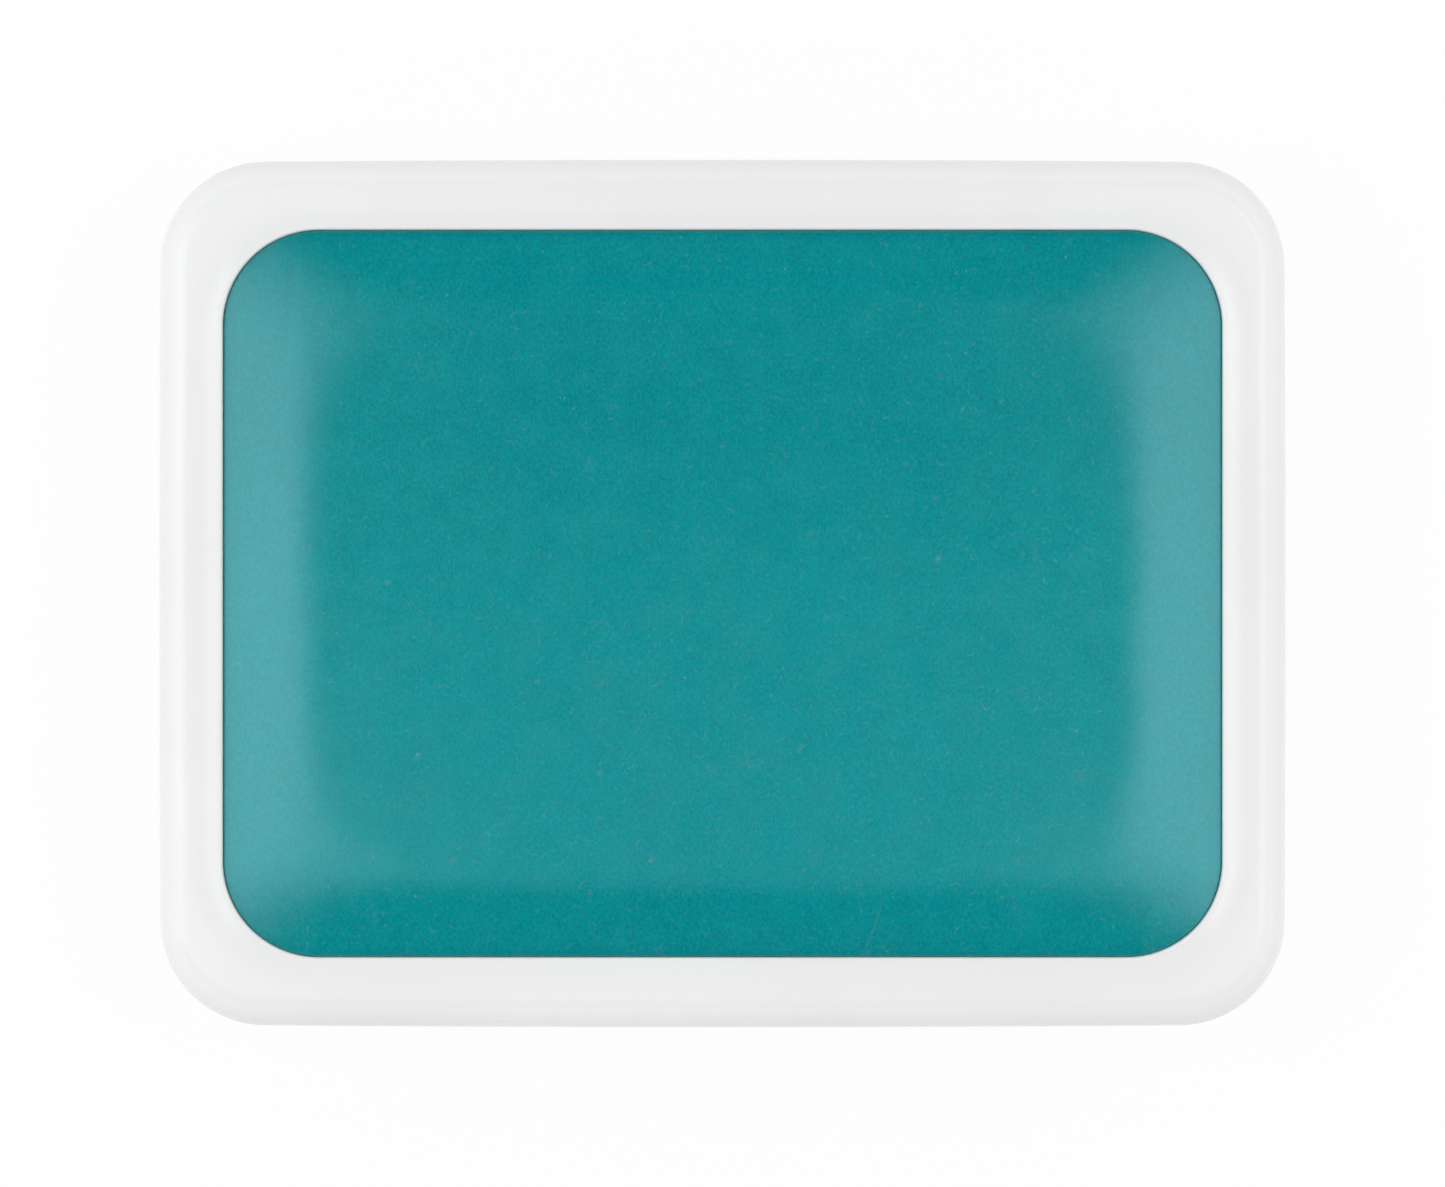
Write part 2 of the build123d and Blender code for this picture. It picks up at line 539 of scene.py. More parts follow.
@dataclass(frozen=True)
class GlossyShell:
    """Smooth moulded white plastic with a faint orange peel and fine scuffs."""

    name: str = "glossy_white_plastic"
    colour: Colour = (0.85, 0.855, 0.855, 1.0)
    warm: Colour = (0.82, 0.82, 0.812, 1.0)
    roughness: float = 0.2
    cloud_size: float = 45 * MM
    scuff_size: float = 5 * MM
    peel_size: float = 4 * MM
    peel_depth: float = 0.006 * MM

    def material(self) -> bpy.types.Material:
        """Builds the material.

        Returns:
            The material.
        """
        graph = Surface(self.name)
        where = graph.place()
        clouds = graph.noise(self.cloud_size, where, 2.0).fade(0.35, 0.7)
        scuffs = graph.noise(self.scuff_size, graph.place((1, 0.3, 1), 0.6), 4.0, 0.6)
        return graph.finish(
            Base_Color=graph.blend(clouds * 0.6, self.colour, self.warm),
            Roughness=self.roughness + scuffs.fade(0.5, 0.8) * 0.05 + clouds * 0.03,
            Normal=graph.relief(graph.noise(self.peel_size, where, 2.0), self.peel_depth),
            IOR=1.49,
        )


@dataclass(frozen=True)
class SoftPad:
    """Teal silicone that has gathered lint, specks, smears and a few scratches."""

    name: str = "teal_silicone_pad"
    deep: Colour = (0.0, 0.207, 0.228, 1.0)
    light: Colour = (0.001, 0.318, 0.34, 1.0)
    smeared: Colour = (0.009, 0.315, 0.33, 1.0)
    lint: Colour = (0.16, 0.285, 0.275, 1.0)
    dark: Colour = (0.0, 0.17, 0.175, 1.0)
    sheen: Colour = (0.61, 0.93, 1.0, 1.0)
    roughness: float = 0.19
    relief_depth: float = 0.006 * MM
    threads: Strands = Strands(3.9 * MM, 1.7 * MM, 0.42 * MM, 420.0, 0.7, 0.0)
    short: Strands = Strands(1.9 * MM, 0.9 * MM, 0.34 * MM, 600.0, 0.5, 0.013)
    fuzz: Strands = Strands(1.3 * MM, 1.0 * MM, 0.22 * MM, 700.0, 0.85, 0.043)
    spots: Strands = Strands(17 * MM, 1.5 * MM, 0.9 * MM, 0.0, 0.5, 0.023)
    specks: Strands = Strands(4.7 * MM, 0.7 * MM, 0.34 * MM, 0.0, 0.35, 0.031)
    nicks: Strands = Strands(38 * MM, 13 * MM, 0.4 * MM, 14.0, 0.3, 0.057)
    smudge: Strands = Strands(14 * MM, 5 * MM, 2.4 * MM, 60.0, 0.6, 0.071)

    def material(self) -> bpy.types.Material:
        """Builds the material.

        The tone adds a slow drift, clouds, an upright grain and painted sheen: a lighter patch
        over the middle and front that stands for the lamps' haze. Smears, a pale bloom that is
        made stronger under the painted sheen, lint and dark specks are then blended in.

        Returns:
            The material.
        """
        graph = Surface(self.name)
        where = graph.place()
        drift = graph.noise(40 * MM, where, 2.0).fade(0.3, 0.7)
        clouds = graph.noise(5 * MM, where, 5.0, 0.62).fade(0.32, 0.7)
        grain = graph.noise(0.44 * MM, graph.place((1, 0.6, 1)), 4.0, 0.8).fade(0.36, 0.64)
        back = graph.split(where)[1]
        # painted sheen: the tone is lightened over the middle and front of the flat, where the
        # lamps' haze shows
        painted_sheen = back.fade(38 * MM, -8 * MM) * back.fade(-54 * MM, -48 * MM)
        tone = drift * 0.06 + clouds * 0.12 + grain * 0.6 + painted_sheen * 0.2
        streaks = graph.noise(6 * MM, graph.place((1, 0.12, 1), 0.04), 3.0, 0.6)
        smear = streaks.fade(0.55, 0.8)
        broken = graph.noise(0.7 * MM, where, 2.0).fade(0.35, 0.6)
        clumps = graph.noise(13 * MM, where, 2.0).fade(0.4, 0.62)
        # pale bloom, partly a real film and partly painted sheen, as it grows with the painted
        # sheen patch
        bloom_and_sheen = graph.noise(8 * MM, where, 4.0, 0.6).fade(0.36, 0.7) * (painted_sheen + 0.2)
        threads, short = self.threads.mask(graph), self.short.mask(graph)
        lint = (threads * 0.14 + short * clumps * 0.17) * broken
        lint = lint + self.fuzz.mask(graph) * 0.07 + self.spots.mask(graph) * 0.15
        patchy = graph.noise(1.4 * MM, where, 3.0, 0.6).fade(0.4, 0.65)
        lint = lint + self.nicks.mask(graph) * 0.12 + self.smudge.mask(graph) * patchy * 0.09
        base = graph.blend(tone, self.deep, self.light)
        base = graph.blend(smear * 0.35, base, self.smeared)
        base = graph.blend(bloom_and_sheen * 0.03, base, self.lint)
        base = graph.blend(lint, base, self.lint)
        height = clouds * 2.0 + grain * 0.6 + lint * 1.2
        return graph.finish(
            Base_Color=graph.blend(self.specks.mask(graph) * 0.4, base, self.dark),
            Roughness=self.roughness + clouds * 0.03 + lint * 0.4 - smear * 0.03,
            Normal=graph.relief(height, self.relief_depth),
            Specular_IOR_Level=0.85,
            Specular_Tint=self.sheen,
        )


@dataclass(frozen=True)
class FineMoulding:
    """A plain moulding with soft clouds and a fine grain, teal silicone unless told else."""

    name: str
    roughness: float
    colour: Colour = (0.012, 0.22, 0.235, 1.0)
    shade: Colour = (0.006, 0.17, 0.185, 1.0)
    clouding: Point = (0.35, 0.7)
    unevenness: float = 0.15
    cloud_size: float = 9 * MM
    grain_size: float = 0.35 * MM
    grain_depth: float = 0.02 * MM
    refraction: float = 1.5

    def material(self) -> bpy.types.Material:
        """Builds the material.

        Returns:
            The material.
        """
        graph = Surface(self.name)
        where = graph.place()
        clouds = graph.noise(self.cloud_size, where, 3.0)
        grain = graph.noise(self.grain_size, where, 2.0)
        return graph.finish(
            Base_Color=graph.blend(clouds.fade(*self.clouding), self.colour, self.shade),
            Roughness=self.roughness + clouds * self.unevenness,
            Normal=graph.relief(grain, self.grain_depth),
            IOR=self.refraction,
        )


SEAL_SILICONE = FineMoulding("seal_silicone", 0.42)
FOOT_SILICONE = FineMoulding("foot_silicone", 0.6)
SATIN_PLATE = FineMoulding(
    "satin_white_plastic",
    0.42,
    colour=(0.80, 0.81, 0.81, 1.0),
    shade=(0.77, 0.785, 0.785, 1.0),
    clouding=(0.4, 0.75),
    unevenness=0.12,
    cloud_size=30 * MM,
    grain_size=0.5 * MM,
    refraction=1.49,
)


@dataclass(frozen=True)
class OpenFoam:
    """Pale cellulose foam, full of pores of mixed sizes, with painted shade in the pores."""

    name: str = "open_foam"
    colour: Colour = (0.78, 0.70, 0.46, 1.0)
    pore_shade: Colour = (0.40, 0.33, 0.18, 1.0)
    stain: Colour = (0.70, 0.60, 0.36, 1.0)
    wide_pore: float = 2.6 * MM
    fine_pore: float = 0.9 * MM
    pore_depth: float = 0.6 * MM

    def material(self) -> bpy.types.Material:
        """Builds the material.

        Returns:
            The material.
        """
        graph = Surface(self.name)
        where = graph.place()
        wide = self.pores(graph, where, self.wide_pore).fade(0.42, 0.16)
        fine = self.pores(graph, where, self.fine_pore).fade(0.4, 0.15)
        clouds = graph.noise(18 * MM, where, 3.0)
        # painted shade: the pores are darkened, as shade falls inside them
        base = graph.blend(wide * 0.7 + fine * 0.35, self.colour, self.pore_shade)
        return graph.finish(
            Base_Color=graph.blend(clouds.fade(0.4, 0.8) * 0.3, base, self.stain),
            Roughness=0.86 + fine * 0.08,
            Normal=graph.relief(1 - wide * 0.7 - fine * 0.4, self.pore_depth),
        )

    @staticmethod
    def pores(graph: Graph, where: Socket, size: float) -> Number:
        """The distance to the nearest pore's middle, in pore sizes."""
        cells = graph.node("ShaderNodeTexVoronoi", {}, {"Vector": where, "Scale": 1 / size})
        return Number(graph, cells.outputs["Distance"])


@dataclass(frozen=True)
class DampParchment:
    """Thin damp parchment: cloudy, fibrous, and showing a little of what it lies on."""

    name: str = "damp_parchment"
    colour: Colour = (0.78, 0.75, 0.65, 1.0)
    damp: Colour = (0.70, 0.665, 0.55, 1.0)
    fibre: Colour = (0.86, 0.84, 0.76, 1.0)
    fibres: Strands = Strands(3.1 * MM, 2.4 * MM, 0.2 * MM, 250.0, 0.8, 0.0)
    relief_depth: float = 0.02 * MM

    def material(self) -> bpy.types.Material:
        """Builds the material.

        Returns:
            The material.
        """
        graph = Surface(self.name)
        where = graph.place()
        wet = graph.noise(11 * MM, where, 3.0, 0.5).fade(0.3, 0.75)
        pulp = graph.noise(0.9 * MM, where, 4.0, 0.7).fade(0.3, 0.7)
        fibres = self.fibres.mask(graph)
        base = graph.blend(wet * 0.25 + pulp * 0.35, self.colour, self.damp)
        return graph.finish(
            Base_Color=graph.blend(fibres * 0.3, base, self.fibre),
            Roughness=0.42 - wet * 0.12 + fibres * 0.1,
            Normal=graph.relief(pulp + fibres, self.relief_depth),
            Alpha=0.93 - wet * 0.05,
        )


# Sub-assemblies

CORNER, BOW_LONG, BOW_SHORT = 18.5 * MM, 0.5 * MM, 0.3 * MM
PLATE = 1.8 * MM  # the deck's wall, which is also the depth of the ledge that it hangs from
SCOOP_HALF = 20.0 * MM
SHARP, EASED, SOFT = 0.3 * MM, 0.4 * MM, 0.5 * MM  # the corner radii of the mouldings


def half_sizes(node: str) -> tuple[float, float, float, float]:
    """Half the length and width of a CAD node, and its lowest and highest level."""
    low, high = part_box(node)
    return (high.x - low.x) / 2, (high.y - low.y) / 2, low.z, high.z


def footprint(node: str, inset: float = 0.0, grow: float = 0.0) -> Outline:
    """The object's outline at a CAD node's size: inset sharpens it, and grow widens it."""
    half_x, half_y, _, _ = half_sizes(node)
    return Outline(half_x + grow, half_y + grow, CORNER - inset, BOW_SHORT, BOW_LONG)


def scoop_share(x: np.ndarray) -> np.ndarray:
    """A finger scoop's depth along X, from 1 at its middle to 0 at its ends."""
    return np.clip(1 - (x / SCOOP_HALF) ** 2, 0, 1) ** 2


def dress(
    piece: bpy.types.Object, material: bpy.types.Material, body: str, node: str
) -> bpy.types.Object:
    """Gives a piece its material and body, and hides the CAD node it stands for.

    Args:
        piece: The piece.
        material: Its material.
        body: The body it rides on.
        node: The CAD node.

    Returns:
        The piece.
    """
    piece.data.materials.append(material)
    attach(piece, body)
    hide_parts(node)
    LOG.info("%s: %d faces, rides on %s", piece.name, len(piece.data.polygons), body)
    return piece


@dataclass
class Lid:
    """The push-on lid: rolled frame, raised soft pad, deck plate and seal ring."""

    opening: Outline = Outline(88.35 * MM, 64.3 * MM, 17.0 * MM)
    hollow: Outline = Outline(79.25 * MM, 55.25 * MM, 9.0 * MM)
    rise: Outline = Outline(79.0 * MM, 55.0 * MM, 9.0 * MM)
    deck_gap: float = 0.2 * MM
    skirt: float = 2.6 * MM
    flange: float = 2.2 * MM
    ledge: float = 3.2 * MM
    core_gap: float = 0.3 * MM
    roll_out: float = 5.4 * MM
    roll_up: float = 6.5 * MM
    slope_out: float = 5.7 * MM
    slope_down: float = 1.1 * MM
    lip_round: float = 0.7 * MM
    hem: float = 0.45 * MM
    hem_low: float = 1.6 * MM
    hem_high: float = 2.3 * MM
    scoop_depth: float = 3.0 * MM
    scoop_fade: float = 7.0 * MM
    pad_edge: float = 2.1 * MM
    pad_roll: float = 0.35 * MM
    pad_flat: Point = (69.5 * MM, 50.7 * MM)
    pad_flat_power: float = 5.0
    margin_end: float = 1.12
    seal_inset: float = 2.9 * MM
    seal_width: float = 4.2 * MM
    seal_lip: float = 0.28 * MM
    shell: bpy.types.Material = field(default_factory=GlossyShell().material)

    def frame_piece(self) -> bpy.types.Object:
        """The rolled frame, as one closed loop of rings.

        Outside, the profile goes from the channel's roof down the skirt's inner face, round
        its hem and up its outer face, and turns over the rim as a quarter of an ellipse.
        Inside, it falls towards the opening as the square of the way, turns down the lip as
        another quarter, steps round the ledge, and goes down the inner flange and up again to
        the channel's roof.

        Returns:
            The piece.
        """
        _, _, low, top = half_sizes("lid_frame")
        deck_low = half_sizes("lid_deck")[2]
        ledge_low = half_sizes("lid_pad")[2]
        roof = half_sizes("lid_seal")[3]
        ledge_top = ledge_low + PLATE
        skirt = rounded(
            (self.skirt, roof, 0),
            (self.skirt, low, EASED),
            (0, low, SOFT),
            (0, low + self.hem_low, SHARP),
            (self.hem, low + self.hem_high, SHARP),
            (0, top - self.roll_up, 0),
        )
        rim = arc((0, top - self.roll_up), (self.roll_out, top), 26, True)[1:]
        way = np.linspace(0, 1, 18)[:-1, None]
        reach = self.slope_out - self.lip_round
        fall = np.concatenate([way * reach - self.slope_out, top - self.slope_down * way**2], 1)
        lip_top = top - self.slope_down
        lip_low = lip_top - self.lip_round
        lip = arc((-self.lip_round, lip_top), (0, lip_low), 9, False)
        inside = rounded(
            (0, lip_low, 0),
            (0, ledge_top, 0),
            (self.ledge, ledge_top, SHARP),
            (self.ledge, ledge_low, SHARP),
            (0, ledge_low, 0),
            (0, deck_low, SHARP),
            (-self.flange, deck_low, EASED),
            (-self.flange, roof, 0),
        )[1:]
        outer = footprint("lid_frame").rings(np.concatenate([skirt, rim]))
        inner = self.opening.rings(np.concatenate([fall, lip, inside]))
        t = np.array([0.33, 0.67])[:, None, None]
        crest = outer[-1] * (1 - t) + inner[0] * t
        stack = np.concatenate([outer, crest, inner])
        self.cut_scoops(stack, low)
        return skin("rolled_frame", stack, wrap=True)

    def cut_scoops(self, stack: np.ndarray, low: float) -> None:
        """Lifts the skirt's lower edge into a finger scoop at the middle of both long sides.

        The lift fades to nothing up the skirt.

        Args:
            stack: The frame's rings, changed in place.
            low: The level of the skirt's lower edge.
        """
        x, y, z = stack[..., 0], stack[..., 1], stack[..., 2]
        skirt = np.abs(y) > self.opening.half_y + self.flange + 2 * MM
        fade = np.clip(1 - (z - low) / self.scoop_fade, 0, 1)
        stack[..., 2] = z + self.scoop_depth * scoop_share(x) * skirt * fade

    def pad_height(self, t: np.ndarray) -> np.ndarray:
        """How far the pad has risen.

        The slope is steady for the first part of the margin and then dies away as a smooth
        step, so the height is the running sum of that slope over its total.

        Args:
            t: The way from the pad's edge, at 0, to its flat middle, at 1.

        Returns:
            The height, from 0 to 1.
        """
        place = np.linspace(0, 1.3, 400)
        slope = 1 - smooth_step(0.38, self.margin_end, place)
        rise = np.concatenate([[0], np.cumsum((slope[1:] + slope[:-1]) / 2)])
        return np.interp(t, place, rise / rise[-1])

    def pad_piece(self) -> bpy.types.Object:
        """The soft pad, as a stack of rings from its hollow back round to its top's middle.

        The flat's edge is a superellipse, where |x / a|^5 + |y / b|^5 is 1. A margin ring is
        a straight blend between the pad's edge and the flat's edge, and the rings of the
        flat are that superellipse shrunk to nothing. A faint swell makes the face uneven.

        Returns:
            The piece.
        """
        half_x, half_y, low, top = half_sizes("lid_pad")
        grow = half_x - self.opening.half_x
        edge = Outline(half_x, self.opening.half_y + grow, self.opening.radius + grow)
        ledge_top = low + PLATE
        edge_top = ledge_top + self.pad_edge
        core = self.ledge + self.core_gap
        back = self.hollow.rings([(0, half_sizes("lid_deck")[3]), (0, low)])
        roll = arc((0, edge_top - self.pad_roll), (self.pad_roll, edge_top), 9, True)
        rim = edge.rings(roll)
        start = rim[-1]
        heading = np.arctan2(start[:, 1], start[:, 0])
        way = np.stack([np.cos(heading), np.sin(heading)], 1)
        terms = np.abs(way / np.array(self.pad_flat)) ** self.pad_flat_power
        flat = way * terms.sum(1, keepdims=True) ** (-1 / self.pad_flat_power)
        t = np.linspace(0, 1, 26)[1:, None, None]
        margin = start[None, :, :2] * (1 - t) + flat[None] * t
        shrink = np.linspace(1, 0.01, 34)[1:, None, None]
        plan = np.concatenate([margin, flat[None] * shrink])
        depth = np.concatenate([t, 1 + (1 - shrink) * 3.6])[..., 0]
        uneven = swell(plan, 34 * MM, 3) * 0.03 * MM + swell(plan, 15 * MM, 4) * 0.016 * MM
        height = edge_top + self.pad_height(depth) * (top - edge_top)
        height = height + uneven * smooth_step(0, 0.6, depth)
        stack = [
            towards_middle(back[0], np.linspace(NEAR_CENTRE, 1, 5)),
            back[1:],
            self.opening.rings([(core, low), (core, ledge_top)]),
            edge.rings([(0, ledge_top)]),
            rim,
            np.concatenate([plan, height[..., None]], -1),
        ]
        return skin("soft_pad", np.concatenate(stack))

    def deck_piece(self) -> bpy.types.Object:
        """The deck plate, from its hollow underside round its border to its raised top.

        Returns:
            The piece.
        """
        half_x, half_y, low, top = half_sizes("lid_deck")
        border = Outline(half_x, half_y, self.opening.radius - self.deck_gap)
        foot = low + PLATE
        under = rounded(
            (PLATE + 4 * MM, top - PLATE, 0),
            (PLATE, top - PLATE, 1.4 * MM),
            (PLATE - 0.6 * MM, low, 0.8 * MM),
            (-2 * MM, low, 0),
            steps=8,
        )
        side = rounded((3 * MM, low, 0), (0, low, EASED), (0, foot, SHARP), (3 * MM, foot, 0))
        over = rounded((-2 * MM, foot, 0), (0, foot, SHARP), (0, top, SOFT), (4 * MM, top, 0))
        below, above = self.rise.rings(under), self.rise.rings(over)
        stack = [
            towards_middle(below[0], np.linspace(NEAR_CENTRE, 0.98, 12)),
            below,
            border.rings(side),
            above,
            towards_middle(above[-1], np.linspace(0.98, NEAR_CENTRE, 8)),
        ]
        return skin("deck_plate", np.concatenate(stack))

    def seal_piece(self) -> bpy.types.Object:
        """The seal ring: a soft strip with two low lips that the tray's rim presses.

        The lips go as one minus a cosine, and the strip's ends turn up as a rounded square.

        Returns:
            The piece.
        """
        _, _, low, top = half_sizes("lid_seal")
        start, end = self.seal_inset, self.seal_inset + self.seal_width
        place = np.linspace(0, 1, 25)
        lips = self.seal_lip * (0.5 + 0.5 * np.cos(place * 2 * math.tau))
        ends = SOFT * (1 - np.sqrt(np.clip(1 - (2 * place - 1) ** 8, 0, 1)))
        bottom = np.stack([start + (end - start) * place, low + lips + ends], 1)
        profile = np.concatenate([bottom, [(end, top), (start, top)]])
        return skin("seal_ring", footprint("lid_frame").rings(profile), wrap=True)

    def build(self) -> None:
        """Makes and dresses the lid's pieces."""
        pad = SoftPad().material()
        plate, silicone = SATIN_PLATE.material(), SEAL_SILICONE.material()
        dress(self.frame_piece(), self.shell, "lid", "lid_frame")
        dress(self.pad_piece(), pad, "lid", "lid_pad")
        dress(self.deck_piece(), plate, "lid", "lid_deck")
        dress(self.seal_piece(), silicone, "lid", "lid_seal")


@dataclass
class Tray:
    """The tray with its belt, heel, ribs and feet."""

    belt_inset: float = 0.4 * MM
    wall_inset: float = 3.0 * MM
    wall: float = 2.4 * MM
    floor: float = 2.2 * MM
    heel: float = 5.0 * MM
    well_round: float = 2.0 * MM
    rim_round: float = 0.7 * MM
    belt_low: float = 11.0 * MM
    belt_top: float = 12.8 * MM
    panel_inset: float = 10.5 * MM
    panel_slope: float = 0.7 * MM
    panel_depth: float = 0.5 * MM
    scoop_depth: float = 2.4 * MM
    rib_count: int = 9
    rib_pitch: float = 18.0 * MM
    rib_width: float = 2.0 * MM
    rib_length: float = 122.0 * MM
    foot_rings: int = 3
    foot_ring_depth: float = 0.22 * MM
    foot_face: float = 0.86
    shell: bpy.types.Material = field(default_factory=GlossyShell("tray_plastic").material)

    def shell_piece(self) -> bpy.types.Object:
        """The tray, as a stack of rings from the middle of its floor round to its underside.

        Inside, the profile goes along the floor, round the well's corner and up the wall to a
        rounded rim. Outside, it goes down the wall, round the belt, and turns under the heel
        as a quarter of a circle to a shallow panel in the underside.

        Returns:
            The piece.
        """
        _, _, low, top = half_sizes("tray_shell")
        floor = low + self.floor
        inner = self.wall_inset + self.wall
        heel_end = self.wall_inset + self.heel
        panel_end = self.panel_inset + self.panel_slope
        panel = low + self.panel_depth
        inside = rounded(
            (inner + 4 * MM, floor, 0),
            (inner, floor, self.well_round),
            (inner, top, self.rim_round),
            (self.wall_inset, top, self.rim_round),
            (self.wall_inset, self.belt_top, EASED),
            (self.belt_inset, self.belt_top, 0.45 * MM),
            (self.belt_inset, self.belt_low, 0.6 * MM),
            (self.wall_inset, self.belt_low, self.rim_round),
            (self.wall_inset, low + self.heel, 0),
            steps=7,
        )
        heel = arc((self.wall_inset, low + self.heel), (heel_end, low), 16, True)[1:]
        under = rounded(
            (heel_end, low, 0),
            (self.panel_inset, low, EASED),
            (panel_end, panel, EASED),
            (14 * MM, panel, 0),
        )[1:]
        outline = footprint("tray_shell", grow=self.belt_inset)
        rings = outline.rings(np.concatenate([inside, heel, under]))
        first = towards_middle(rings[0], np.linspace(NEAR_CENTRE, 0.98, 10))
        last = towards_middle(rings[-1], np.linspace(0.98, NEAR_CENTRE, 14))
        stack = np.concatenate([first, rings, last])
        self.cut_scoops(stack)
        return skin("tray_body", stack)

    def cut_scoops(self, stack: np.ndarray) -> None:
        """Draws the belt's edge in at the middle of both long sides, under the lid's scoops.

        Args:
            stack: The tray's rings, changed in place.
        """
        x, y, z = stack[..., 0], stack[..., 1], stack[..., 2]
        reach = half_sizes("tray_shell")[1]
        wall = reach + self.belt_inset - self.wall_inset
        belt = (z > self.belt_low - 0.2 * MM) & (z < self.belt_top + 0.2 * MM)
        proud = np.clip(np.abs(y) - wall, 0, None) / (reach - wall)
        depth = self.scoop_depth * scoop_share(x) * belt * proud
        stack[..., 1] = y - np.sign(y) * depth

    def ribs_piece(self) -> bpy.types.Object:
        """The ribs that keep the sponge off the floor: low bars with rounded tops.

        Returns:
            The piece.
        """
        low = half_sizes("tray_shell")[2] + self.floor - 0.2 * MM
        top = half_sizes("sponge")[2]
        half = self.rib_width / 2
        bar = Outline(half, self.rib_length / 2, half - 0.05 * MM)
        stack = bar.rings(rounded((0, low, 0), (0, top, 0.35 * MM), (0.8 * MM, top, 0)))[:, ::4]
        places = (np.arange(self.rib_count) - (self.rib_count - 1) / 2) * self.rib_pitch
        return skin("floor_ribs", *[stack + np.array([x, 0, 0]) for x in places])

    def foot_piece(self, node: str) -> bpy.types.Object:
        """One foot: a disc with a rounded edge and three shallow rings in its underside.

        The rings' depth goes as one minus the cosine of the radius, and the profile of radius
        and height turns about the disc's upright axis.

        Args:
            node: The CAD node that it stands for.

        Returns:
            The piece.
        """
        low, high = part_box(node)
        middle = (low + high) / 2
        radius = (high.x - low.x) / 2
        out = np.linspace(NEAR_CENTRE, self.foot_face, 60)
        wave = np.cos(out / self.foot_face * self.foot_rings * math.tau)
        dip = self.foot_ring_depth * (0.5 - 0.5 * wave)
        face = np.stack([out * radius, low.z + dip], 1)
        side = rounded(
            (radius * 0.88, low.z, 0),
            (radius, low.z, SOFT),
            (radius, high.z, 0.15 * MM),
            (radius * 0.05, high.z, 0),
        )
        away, height = np.hsplit(np.concatenate([face, side]), 2)
        angle = np.linspace(0, math.tau, 72, endpoint=False)
        x, y = middle.x + away * np.cos(angle), middle.y + away * np.sin(angle)
        return skin(node + "_disc", np.stack([x, y, np.broadcast_to(height, x.shape)], -1))

    def build(self) -> None:
        """Makes and dresses the tray's pieces."""
        for piece in (self.shell_piece(), self.ribs_piece()):
            dress(piece, self.shell, "tray", "tray_shell")
        grip = FOOT_SILICONE.material()
        for node in sorted(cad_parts):
            if node.startswith("foot_"):
                dress(self.foot_piece(node), grip, "tray", node)


@dataclass
class Filling:
    """What lies in the tray: the foam sponge and the mixing sheet."""

    inset: float = 6.6 * MM
    sheet_margin: float = 2.6 * MM
    sheet_thickness: float = 0.12 * MM
    sheet_rise: float = 0.22 * MM
    curl: float = 0.7 * MM
    sponge_slack: float = 0.15 * MM
    sponge_sink: float = 0.16 * MM

    def sponge_piece(self) -> bpy.types.Object:
        """The sponge: a slab with soft edges, sides that pull in, and an uneven top.

        Returns:
            The piece.
        """
        _, _, low, top = half_sizes("sponge")
        height = top - low - self.sponge_slack
        side = rounded(
            (12 * MM, low, 0),
            (0, low, 0.8 * MM),
            (0.45 * MM, low + height * 0.5, 1.6 * MM),
            (0.1 * MM, low + height, 1.5 * MM),
            (12 * MM, low + height, 0),
            steps=8,
        )
        rings = footprint("sponge", self.inset).rings(side)
        under = towards_middle(rings[0], np.linspace(NEAR_CENTRE, 0.97, 8))
        over = towards_middle(rings[-1], np.linspace(0.985, 0.01, 46))
        stack = np.concatenate([under, rings, over])
        lump = swell(stack, 11 * MM, 8) * 0.12 * MM + swell(stack, 4 * MM, 9) * 0.06 * MM
        share = smooth_step(low + height * 0.8, low + height, stack[..., 2])
        stack[..., 2] += (lump - self.sponge_sink) * share
        return skin("foam_sponge", stack)

    def sheet_piece(self) -> bpy.types.Object:
        """The mixing sheet: a thin skin that is cockled by the damp and lifts at its edge.

        Returns:
            The piece.
        """
        low = half_sizes("palette_sheet")[2]
        edge = footprint("palette_sheet", self.inset + self.sheet_margin).rings([(0, 0)])[0]
        shrink = np.linspace(1, 0.01, 60)
        over = towards_middle(edge, shrink)
        cockle = swell(over, 26 * MM, 21) * 0.16 * MM + swell(over, 12 * MM, 22) * 0.05 * MM
        near_edge = smooth_step(0.86, 1.0, shrink)[:, None]
        curl = self.curl * near_edge * (1 + swell(over, 60 * MM, 5))
        over[..., 2] = low + self.sheet_rise + cockle + curl
        under = over - np.array([0, 0, self.sheet_thickness])
        return skin("mixing_sheet", np.concatenate([under[::-1], over]))

    def build(self) -> None:
        foam, parchment = OpenFoam().material(), DampParchment().material()
        sponge = dress(self.sponge_piece(), foam, "tray", "sponge")
        sheet = self.sheet_piece()
        dress(sheet, parchment, "tray", "palette_sheet")


# Stage


@dataclass(frozen=True)
class Lamp:
    """A rectangular lamp that faces straight down, turned about its middle in degrees."""

    name: str
    near: Point
    far: Point
    height: float
    radiance: float
    turn: float = 0.0

    def build(self) -> None:
        """Hangs the lamp, at the power that gives its face its radiance, where 1 is white."""
        data = bpy.data.lights.new(self.name, "AREA")
        data.shape = "RECTANGLE"
        data.size = abs(self.far[0] - self.near[0])
        data.size_y = abs(self.far[1] - self.near[1])
        data.energy = self.radiance * math.pi * data.size * data.size_y
        lamp = place_in_scene(self.name, data)
        lamp.location = (*[(a + b) / 2 for a, b in zip(self.near, self.far)], self.height)
        lamp.rotation_euler = (0, 0, math.radians(self.turn))


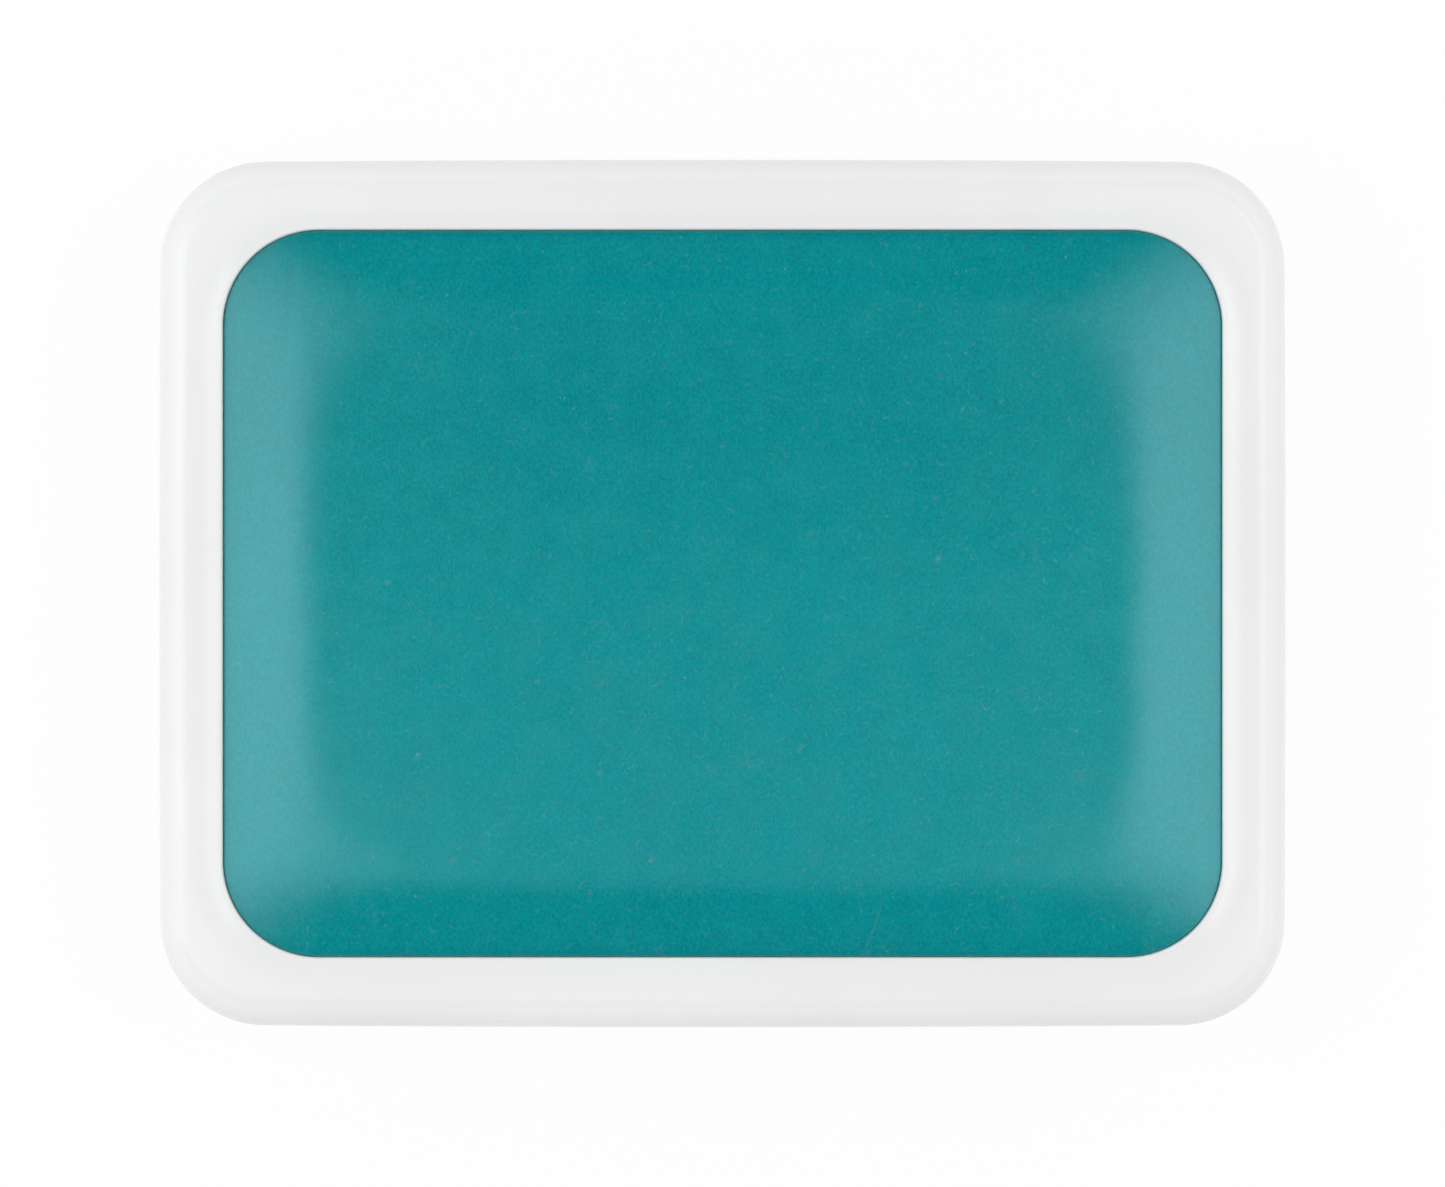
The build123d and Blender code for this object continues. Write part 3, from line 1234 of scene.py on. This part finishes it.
@dataclass
class Studio:
    """A white sweep in a bright tent with a dark roof, seven lamps and the camera."""

    lens: float = 120.0
    sensor: float = 36.0
    view_width: float = 256.5 * MM
    view_level: float = 6.0 * MM
    tent: float = 1.03
    roof: float = 0.01
    roof_edge: Point = (0.80, 0.66)
    tent_lean: float = 0.04
    tent_ends: float = 0.7
    tent_foot: float = 0.72
    floor_reach: float = 3.0
    floor_drop: float = 0.2 * MM
    floor_shade: float = 0.9
    floor_white: float = 0.94
    floor_bounce: float = 0.66
    lamps: tuple[Lamp, ...] = (
        Lamp("left_lamp", (-0.27, -0.26), (-1.0, 0.32), 0.8, 2.15, 1.5),
        Lamp("right_lamp", (0.255, -0.26), (0.75, 0.32), 0.8, 2.05, -2.5),
        Lamp("front_left_lamp", (-0.15, -0.17), (-0.28, -0.085), 0.8, 2.3),
        Lamp("back_left_lamp", (-0.17, 0.09), (-0.28, 0.16), 0.8, 1.5),
        Lamp("front_right_lamp", (0.165, -0.17), (0.265, -0.085), 0.8, 2.0),
        Lamp("back_right_lamp", (0.165, 0.09), (0.265, 0.17), 0.8, 1.7),
        Lamp("front_lamp", (-0.13, -0.17), (0.13, -0.02), 0.9, 0.3),
    )

    def floor(self) -> None:
        """A wide plane under the feet, nearly white to the camera and clear from below."""
        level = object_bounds()[0].z - self.floor_drop
        corners = [(-1, -1), (1, -1), (1, 1), (-1, 1)]
        rows = [(x * self.floor_reach, y * self.floor_reach, level) for x, y in corners]
        mesh = bpy.data.meshes.new("floor")
        mesh.from_pydata(rows, [], [(0, 1, 2, 3)])
        floor = place_in_scene("floor", mesh)
        graph = Surface("floor_white")
        path = graph.node("ShaderNodeLightPath", {}, {}).outputs
        camera, glossy = path["Is Camera Ray"], path["Is Glossy Ray"]
        below = graph.node("ShaderNodeNewGeometry", {}, {}).outputs["Backfacing"]
        shade = graph.blend(camera, grey(self.floor_bounce), grey(self.floor_shade))
        graph.finish(Base_Color=shade, Roughness=0.8, Specular_IOR_Level=0.0)
        lit = {"Color": grey(1.0), "Strength": 1.0}
        white = graph.node("ShaderNodeEmission", {}, lit).outputs["Emission"]
        clear = graph.node("ShaderNodeBsdfTransparent", {}, {}).outputs["BSDF"]
        seen = graph.sum("MAXIMUM", camera, glossy) * self.floor_white
        above = graph.either(seen, graph.shader.outputs["BSDF"], white)
        graph.feed(graph.output.inputs["Surface"], graph.either(below, above, clear))
        floor.data.materials.append(graph.material)
        floor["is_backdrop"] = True

    def world(self) -> None:
        """The tent: bright at the sides, dark overhead, and white to the camera itself.

        The light fades from the tent's to the roof's as a direction's upright part goes up
        past the roof's edge, and falls to the foot's share at the floor. It leans by a small
        share towards the back, and gains another towards both ends, as the square of the
        direction's part along X.
        """
        bpy.context.scene.world = bpy.data.worlds.new("tent")
        graph = Graph(bpy.context.scene.world)
        way = graph.node("ShaderNodeTexCoord", {}, {}).outputs["Generated"]
        end, back, up = graph.split(way)
        lean = 1 + back * self.tent_lean + end * end * self.tent_ends
        foot = self.tent_foot + up.fade(0.0, 0.5) * (1 - self.tent_foot)
        light = self.roof + up.fade(*self.roof_edge) * lean * foot * (self.tent - self.roof)
        backdrops = []
        for strength in (light, 1.0):
            settings = {"Color": grey(1.0), "Strength": strength}
            backdrops.append(graph.node("ShaderNodeBackground", {}, settings).outputs[0])
        camera = graph.node("ShaderNodeLightPath", {}, {}).outputs["Is Camera Ray"]
        mixed = graph.either(camera, *backdrops)
        graph.node("ShaderNodeOutputWorld", {}, {"Surface": mixed})

    def camera(self) -> None:
        """Looks straight down, with the view's width taken at the rim's level."""
        data = bpy.data.cameras.new("camera")
        data.lens, data.sensor_width = self.lens, self.sensor
        camera = place_in_scene("camera", data)
        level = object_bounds()[1].z - self.view_level
        camera.location = (0, 0, level + self.view_width * self.lens / self.sensor)
        bpy.context.scene.camera = camera

    def build(self) -> None:
        """Sets up the floor, the tent, the lamps and the camera."""
        self.floor()
        self.world()
        for lamp in self.lamps:
            lamp.build()
        self.camera()
        bpy.context.scene.view_settings.view_transform = "Standard"


def main() -> None:
    """Builds the palette and its stage."""
    logging.basicConfig(level=logging.INFO, format="%(name)s: %(message)s")
    Lid().build()
    Tray().build()
    Filling().build()
    Studio().build()


if __name__ == "__main__":
    main()
